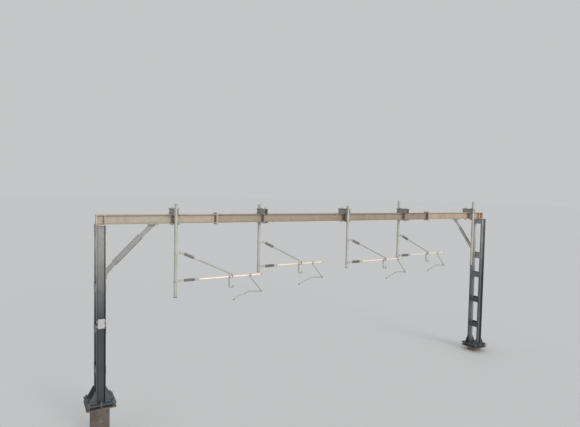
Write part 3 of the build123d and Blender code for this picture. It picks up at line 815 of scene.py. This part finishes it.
# Knee braces: bolts on both seats and through both gussets, and the gussets' welds
for side, hand in zip(SIDES, (1, -1)):
    run, rise = BRACE_RUN[side], BRACE_RISE[side]
    foot = Vector((COLUMN_X[side] + hand * COLUMN_HALF, 0, BOOM_LOW - rise))
    head = Vector((foot.x + hand * run, 0, BOOM_LOW))
    way = (head - foot).normalized()
    across = Vector((-way.z, 0, way.x))
    places = []
    for y in (-COLUMN_SEAT_BOLT_Y, COLUMN_SEAT_BOLT_Y):
        for dz in SEAT_BOLT_ROWS:
            places.append(facing((foot.x + hand * BRACE_SEAT, y, foot.z + dz), (hand, 0, 0)))
    for y in (-BOOM_SEAT_BOLT_Y, BOOM_SEAT_BOLT_Y):
        for dx in SEAT_BOLT_ROWS:
            places.append(facing((head.x + dx, y, BOOM_LOW - BRACE_SEAT), (0, 0, -1)))
            places.append(facing((head.x + dx, y, BOOM_LOW + BOOM_FLANGE), (0, 0, 1)))
    bolts = [set_out("seat_bolts", middle_bolt, places)]
    places = []
    low_group = foot + way * (BRACE_FROM_COLUMN + GUSSET_BOLT_FROM_END)
    high_group = head - way * (BRACE_FROM_BOOM + GUSSET_BOLT_FROM_END)
    for middle in (low_group, high_group):
        for along in (-GUSSET_BOLT_ALONG, GUSSET_BOLT_ALONG):
            for aside in (-GUSSET_BOLT_ASIDE, GUSSET_BOLT_ASIDE):
                for face in (-1, 1):
                    spot = middle + along * way + aside * across
                    spot += Vector((0, face * BRACE_GUSSET_HALF, 0))
                    places.append(facing(spot, (0, face, 0)))
    bolts.append(set_out("gusset_bolts", small_bolt, places))
    fit(joined(f"{side}_brace_bolts", bolts), "portal_frame", "brace_steel")
    runs = []
    wall = foot.x + hand * BRACE_SEAT
    ceiling = BOOM_LOW - BRACE_SEAT
    half = BRACE_WELD_HALF
    for face in (-BRACE_GUSSET_HALF, BRACE_GUSSET_HALF):
        runs.append(((wall, face, foot.z - half), (wall, face, foot.z + half)))
        runs.append(((head.x - half, face, ceiling), (head.x + half, face, ceiling)))
    welds(f"{side}_brace_welds", "brace_steel", runs)

# Drop tube clamps: bolts across each pair of channels, on both sides of the boom
tube_places = {}
for number in DROP_TUBES:
    low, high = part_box(f"drop_tube_{number}")
    x, y = (low.x + high.x) / 2, (low.y + high.y) / 2
    tube_places[number] = Vector((x, y, 0))
    outwards = 1 if y > 0 else -1
    end = y + outwards * CLAMP_PAST_TUBE
    rows = (
        end - outwards * CLAMP_BOLT_FROM_NEAR_END,
        y - outwards * CLAMP_BOLT_FROM_TUBE,
        end - outwards * (CLAMP_LENGTH - CLAMP_BOLT_FROM_FAR_END),
    )
    places = []
    for at in rows:
        for rise in (-CLAMP_BOLT_RISE, CLAMP_BOLT_RISE):
            for face in (-1, 1):
                z = BOOM_HIGH + CLAMP_DEPTH / 2 + rise
                places.append(facing((x + face * CLAMP_WEB_FACE, at, z), (face, 0, 0)))
    fit(set_out(f"drop_tube_clamp_bolts_{number}", middle_bolt, places), "portal_frame", "clamp_steel")

# Identity plate: four screws through it and four more at the ends of its straps
places = []
for rise in (-IDENTITY_STRAP_RISE, IDENTITY_STRAP_RISE):
    for x in (-IDENTITY_SCREW_X, IDENTITY_SCREW_X):
        places.append(facing((x, IDENTITY_FACE, IDENTITY_HEIGHT + rise), (0, -1, 0)))
    for x in (-STRAP_SCREW_X, STRAP_SCREW_X):
        places.append(facing((x, IDENTITY_STRAP_FACE, IDENTITY_HEIGHT + rise), (0, -1, 0)))
fit(set_out("identity_screws", small_bolt, places), "portal_frame", "identity_white")


def shed(x, radius):
    """Profile points of one umbrella shed about its rim at x."""
    root, waist = CORE_RADIUS + 0.003, 0.72 * radius + 0.28 * CORE_RADIUS
    return [
        (x - 0.013, CORE_RADIUS),
        (x - 0.009, root),
        (x - 0.002, waist),
        (x, radius - 0.002),
        (x + 0.002, radius),
        (x + 0.004, radius - 0.002),
        (x + 0.006, waist),
        (x + 0.011, root),
        (x + 0.015, CORE_RADIUS),
    ]


def insulator_body(rubber):
    """Rod under silicone with large and small sheds by turns."""
    pitch = SHED_ZONE / SHED_COUNT
    start, end = FERRULE - 0.004, FERRULE + SHED_ZONE + 0.004
    profile = [(start, 0), (start, CORE_RADIUS)]
    for index in range(SHED_COUNT):
        x = FERRULE + (index + 0.5) * pitch
        profile += shed(x, LARGE_SHED)
        if index < SHED_COUNT - 1:
            profile += shed(x + pitch / 2, SMALL_SHED)
    return coated(turned(profile + [(end, CORE_RADIUS), (end, 0)], 32), rubber, 50)


def ferrule(start, length, radius):
    """Crimped end fitting with two pressed rings."""
    profile = [(0, 0), (0, radius - 0.004), (0.004, radius), (0.3 * length, radius)]
    for share in (0.36, 0.62):
        profile += [(share * length, radius - 0.0025), ((share + 0.12) * length, radius - 0.0025)]
        profile += [((share + 0.16) * length, radius)]
    profile += [(length - 0.003, radius), (length, radius - 0.003), (length, 0)]
    return coated(turned([(start + x, r) for x, r in profile]), casting)


def socket(tube_radius):
    """Cup that takes the tube, with a collar at its mouth and a blind end."""
    base = FERRULE + SHED_ZONE
    start, mouth = base + FERRULE, base + FERRULE + SOCKET
    inner, outer = tube_radius + 0.0003, tube_radius + 0.0083
    profile = [(base + 0.012, 0), (base + 0.012, 0.03), (base + 0.03, 0.03), (start - 0.004, outer - 0.004)]
    profile += [(start, outer - 0.002), (mouth - 0.022, outer - 0.002), (mouth - 0.019, outer)]
    profile += [(mouth, outer), (mouth, inner), (start + 0.001, inner), (start + 0.001, 0)]
    return coated(turned(profile), casting)


def swivel_eye():
    """Bored eye on the bracket's pin, with a neck that swells into the ferrule."""
    edge = 0.002
    rim = EYE_RADIUS - edge
    eye = stacked(28, rim, [(edge, EYE_RADIUS), (EYE_HEIGHT - 2 * edge, EYE_RADIUS), (edge, rim)])
    with editing(eye):
        pick_faces(eye, lambda face: abs(face.normal.z) > 0.9)
        bpy.ops.mesh.inset(thickness=rim - PIN_RADIUS - EYE_PLAY)
        bpy.ops.mesh.bridge_edge_loops()
        turn_outwards()
    moved(eye, Matrix.Translation((-NECK_LENGTH, 0, -EYE_HEIGHT / 2 - EYE_PLAY)))
    profile = [(-0.049, 0), (-0.049, 0.013), (-0.04, 0.014), (-0.018, 0.0155)]
    profile += [(-0.004, 0.023), (0, 0.027), (0, 0)]
    return [coated(eye, casting), coated(turned(profile), casting)]


def insulator(name, rubber, tube_radius, origin, slope):
    """Whole insulator from its eye on the pin to the tube's socket."""
    parts = [insulator_body(rubber), ferrule(start=0, length=FERRULE, radius=0.033)]
    parts += [ferrule(start=FERRULE + SHED_ZONE, length=0.04, radius=0.031), socket(tube_radius)]
    tilt = Matrix.Rotation(slope, 4, "Y")
    parts = [moved(part, tilt) for part in parts]
    clamp_bolts = []
    for at in SOCKET_BOLTS:
        for face in (-1, 1):
            x = FERRULE + SHED_ZONE + FERRULE + at
            spot = Vector((x, face * (tube_radius + SOCKET_BOLT_OUT), 0))
            clamp_bolts.append(tilt @ facing(spot, (0, face, 0)))
    parts.append(set_out("socket_bolts", small_bolt, clamp_bolts))
    parts += swivel_eye()
    if slope:
        knuckle = stacked(24, 0.02, [(0.002, 0.022), (0.04, 0.022), (0.002, 0.02)])
        across = Matrix.Rotation(math.pi / 2, 4, "X")
        moved(knuckle, across @ Matrix.Translation((0, 0, -KNUCKLE_HALF)))
        parts.append(coated(knuckle, casting))
        pin_ends = [facing((0, face * KNUCKLE_HALF, 0), (0, face, 0)) for face in (-1, 1)]
        parts.append(set_out("knuckle_bolts", small_bolt, pin_ends))
    return moved(joined(name, parts), Matrix.Translation(origin))


# Cantilevers: insulators in place of the plain turned ones
pins = {joint["name"]: Vector(joint["pos_m"]) for joint in frame["joints"]}
for number in CANTILEVERS:
    pin = pins[f"cantilever_swing_{number}"]
    body = f"cantilever_{number}"
    start = pin + Vector((NECK_LENGTH, 0, 0))
    lower = insulator(f"main_insulator_{number}", grey_silicone, MAIN_RADIUS, start, 0.0)
    run = TIE_AT[number] - PIN_REACH - NECK_LENGTH
    slope = math.atan2(TIE_RISE - KNUCKLE_RISE, run)
    start = start + Vector((0, 0, TIE_RISE))
    upper = insulator(f"tie_insulator_{number}", pale_silicone, TIE_RADIUS, start, slope)
    fit(lower, body, "insulator_grey", f"insulators_{number}")
    fit(upper, body, "insulator_grey", f"insulators_{number}")


def pin_head():
    """Forged head over the ear, on +Z from the origin."""
    steps = [(0.002, 0.02), (0.009, 0.02), (0.004, 0.016), (0.002, 0.009)]
    return coated(stacked(24, 0.0185, steps), pin_steel)


def slotted_nut():
    """Nut under the ear with a split pin across it, on +Z from the origin."""
    steps = [(0.0015, 0.021), (0.013, 0.021), (0.001, 0.018), (0.006, 0.017), (0.001, 0.015)]
    nut = stacked(6, 0.019, steps)
    wire, rise = 0.0018, 0.0185
    split = stacked(8, wire, [(0.05, wire), (0.001, 0.001)])
    moved(split, facing((0, -0.026, rise), (0, 1, 0)))
    eye = turned(hoop(0.0042, wire, count=6), 12)
    moved(eye, Matrix.Translation((0, -0.0295, rise)))
    return joined("nut_model", [coated(part, pin_steel) for part in (nut, split, eye)])


def half_clamp_ear():
    """Flat ear of a two-part tube clamp with its bolts, on +Y from the band's face at the origin."""
    plate = slab((EAR_LENGTH, 0.026, 2 * EAR_BOLT_FACE), (0, 0.009, 0), 0.004)
    with editing(plate):
        pick_faces(plate, lambda face: face.normal.y > 0.9)
        bpy.ops.transform.resize(value=(0.8, 1, 0.8))
    bolts = []
    for at in (-0.25 * EAR_LENGTH, 0.25 * EAR_LENGTH):
        for face in (-1, 1):
            bolts.append(facing((at, 0.012, face * EAR_BOLT_FACE), (0, 0, face)))
    return joined("ear_model", [coated(plate, cast_aluminium), set_out("ear_bolts", small_bolt, bolts)])


def bracket_lug():
    """Lug of the swivel bracket's split band with its two bolts, on +Y from the band's face."""
    plate = slab((LUG_WIDTH, LUG_WIDTH, BAND_HEIGHT - 0.006), (0, 0.008, 0), 0.005)
    bolts = []
    for rise in (-LUG_BOLT_RISE, LUG_BOLT_RISE):
        for face in (-1, 1):
            bolts.append(facing((face * LUG_WIDTH / 2, 0.0125, rise), (face, 0, 0)))
    return joined("lug_model", [coated(plate, casting), set_out("lug_bolts", small_bolt, bolts)])


# Cantilevers: swivel pins, band lugs, tube clamp ears, knuckle, fork and clip bolts
head_model, nut_model = pin_head(), slotted_nut()
lug_model, ear_model = bracket_lug(), half_clamp_ear()
models += [head_model, nut_model, lug_model, ear_model]
half_turn = Matrix.Rotation(math.pi, 4, "Z")
for number in CANTILEVERS:
    pin = pins[f"cantilever_swing_{number}"]
    body = f"cantilever_{number}"
    axis = pin - Vector((PIN_REACH, 0, 0))
    heights = [Vector((0, 0, rise)) for rise in (0, TIE_RISE)]
    ear = Vector((0, 0, EAR_OUTER))
    pins_up = [facing(pin + up + ear, (0, 0, 1)) for up in heights]
    nuts_down = [facing(pin + up - ear, (0, 0, -1)) for up in heights]
    parts = [set_out("heads", head_model, pins_up), set_out("nuts", nut_model, nuts_down)]
    fit(joined(f"swivel_pin_ends_{number}", parts), "portal_frame", "bracket_steel")
    lugs = []
    for up in heights:
        for face in (-1, 1):
            spot = Matrix.Translation(axis + up + Vector((0, face * BAND_OUTER, 0)))
            lugs.append(spot if face > 0 else spot @ half_turn)
    fit(set_out(f"bracket_lugs_{number}", lug_model, lugs), "portal_frame", "bracket_steel")

    ears = []
    for along in (TIE_AT[number] - HOOK_BEFORE_TIE, TIE_AT[number], ARM_AT[number]):
        for face in (-1, 1):
            spot = Matrix.Translation(axis + Vector((along, face * CLAMP_BAND_OUTER, 0)))
            ears.append(spot if face > 0 else spot @ half_turn)
    fit(set_out(f"tube_clamp_ears_{number}", ear_model, ears), body, "registration_aluminium")

    places = []
    knuckle = axis + Vector((TIE_AT[number], 0, KNUCKLE_RISE))
    saddle = axis + Vector((TIE_AT[number] + SADDLE[0], 0, SADDLE[1]))
    fork = axis + Vector((ARM_AT[number] + ARM_OUT, 0, -ARM_DOWN))
    for face in (-1, 1):
        places.append(facing(knuckle + Vector((0, face * KNUCKLE_HALF, 0)), (0, face, 0)))
        places.append(facing(fork + Vector((0, face * FORK_FACE, 0)), (0, face, 0)))
        for y in (-CLIP_BOLT_Y, CLIP_BOLT_Y):
            spot = saddle + Vector((face * CLIP_HALF, y, -CLIP_BOLT_DROP))
            places.append(facing(spot, (face, 0, 0)))
    fit(set_out(f"registration_bolts_{number}", small_bolt, places), body, "registration_aluminium")
    clip = axis + Vector((ARM_AT[number] + CLIP[0], 0, CLIP[1]))
    places = []
    for face in (-1, 1):
        for y in (-CLIP_BOLT_Y, CLIP_BOLT_Y):
            spot = clip + Vector((face * CLIP_HALF, y, CLIP_BOLT_DROP))
            places.append(facing(spot, (face, 0, 0)))
    fit(set_out(f"clip_bolts_{number}", small_bolt, places), f"steady_arm_{number}", "steady_aluminium")


def tube_cap(radius):
    """Push-on cap, on +Z from where its skirt begins to its crowned top."""
    steps = [(0.001, radius + 0.0045), (0.021, radius + 0.0045), (0.003, radius + 0.0025)]
    steps += [(0.002, 0.8 * radius), (0.001, 0.4 * radius)]
    return coated(stacked(32, radius + 0.0035, steps), cap_rubber)


# Caps on the free ends of the tubes, and the welds of the drop tubes' top plates
main_cap, drop_cap = tube_cap(MAIN_RADIUS), tube_cap(TUBE_RADIUS)
top_bead = coated(turned(hoop(TUBE_RADIUS + TUBE_WELD_OUT, TUBE_WELD_RADIUS), 40), weld, 60)
models += [main_cap, drop_cap, top_bead]
lower_ends, upper_ends = [], []
for number in DROP_TUBES:
    low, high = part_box(f"drop_tube_{number}")
    spot = tube_places[number]
    lower_ends.append(facing(spot + Vector((0, 0, low.z + CAP_DEPTH)), (0, 0, -1)))
    top = spot + Vector((0, 0, high.z - TUBE_WELD_BELOW_TOP))
    upper_ends.append(Matrix.Translation(top) @ AXIS_UP)
fit(set_out("drop_tube_caps", drop_cap, lower_ends), "portal_frame", "drop_tube_steel")
fit(set_out("drop_tube_top_welds", top_bead, upper_ends), "portal_frame", "drop_tube_steel")
for number in CANTILEVERS:
    low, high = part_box(f"main_tube_{number}")
    pin = pins[f"cantilever_swing_{number}"]
    end = Vector((high.x - CAP_DEPTH, pin.y, pin.z))
    cap = set_out(f"main_tube_cap_{number}", main_cap, [facing(end, (1, 0, 0))])
    fit(cap, f"cantilever_{number}", "tube_aluminium")

for model in models:
    bpy.data.objects.remove(model)


def camera():
    """Camera in the photograph's place: on the left and over the boom, looking along the tracks."""
    yaw, pitch, roll = (math.radians(angle) for angle in CAMERA_TURN)
    flat = math.cos(pitch)
    ahead = Vector((math.sin(yaw) * flat, math.cos(yaw) * flat, -math.sin(pitch)))
    level = Vector((math.cos(yaw), -math.sin(yaw), 0))
    upright = level.cross(ahead)
    right = math.cos(roll) * level + math.sin(roll) * upright
    up = math.cos(roll) * upright - math.sin(roll) * level
    lens = bpy.data.cameras.new("camera")
    lens.lens, lens.sensor_width, lens.clip_end = LENS, SENSOR, 1000.0
    made = bpy.data.objects.new("camera", lens)
    turn = Matrix((right, up, -ahead)).transposed().to_4x4()
    made.matrix_world = Matrix.Translation(CAMERA_PLACE) @ turn
    bpy.context.scene.collection.objects.link(made)
    bpy.context.scene.camera = made


def floor():
    """Plain pale floor that reaches the horizon."""
    plane = add("plane", size=900.0, location=(9.0, 60.0, -0.003))
    plane.name = "floor"
    f = Finish("floor_pale")
    f.surface(Base_Color=(0.6, 0.6, 0.595, 1.0), Roughness=0.9)
    plane.data.materials.append(f.material)


def light():
    """Low, soft sun on the boom's near side, a little from its right, and an even pale sky."""
    lamp = bpy.data.lights.new("sun", "SUN")
    lamp.energy, lamp.angle = 1.35, math.radians(26)
    sun = bpy.data.objects.new("sun", lamp)
    tilt, heading = math.radians(74), math.radians(12)
    sun.rotation_euler = (tilt, 0, heading)
    bpy.context.scene.collection.objects.link(sun)
    world = bpy.data.worlds.new("sky")
    bpy.context.scene.world = world
    world.use_nodes = True
    tree = world.node_tree
    sky = tree.nodes["Background"]
    sky.inputs["Color"].default_value = (0.94, 0.95, 0.97, 1)
    sky.inputs["Strength"].default_value = 0.84
    backdrop = tree.nodes.new("ShaderNodeBackground")
    backdrop.inputs["Color"].default_value = (0.56, 0.565, 0.57, 1)
    path = tree.nodes.new("ShaderNodeLightPath")
    shown = path.outputs["Is Camera Ray"]
    for kind in ("Is Glossy Ray", "Is Transmission Ray"):
        either = tree.nodes.new("ShaderNodeMath")
        either.operation = "MAXIMUM"
        tree.links.new(shown, either.inputs[0])
        tree.links.new(path.outputs[kind], either.inputs[1])
        shown = either.outputs[0]
    choice = tree.nodes.new("ShaderNodeMixShader")
    tree.links.new(shown, choice.inputs[0])
    tree.links.new(sky.outputs[0], choice.inputs[1])
    tree.links.new(backdrop.outputs[0], choice.inputs[2])
    tree.links.new(choice.outputs[0], tree.nodes["World Output"].inputs["Surface"])


camera()
floor()
light()
bpy.context.scene.view_settings.view_transform = "Standard"
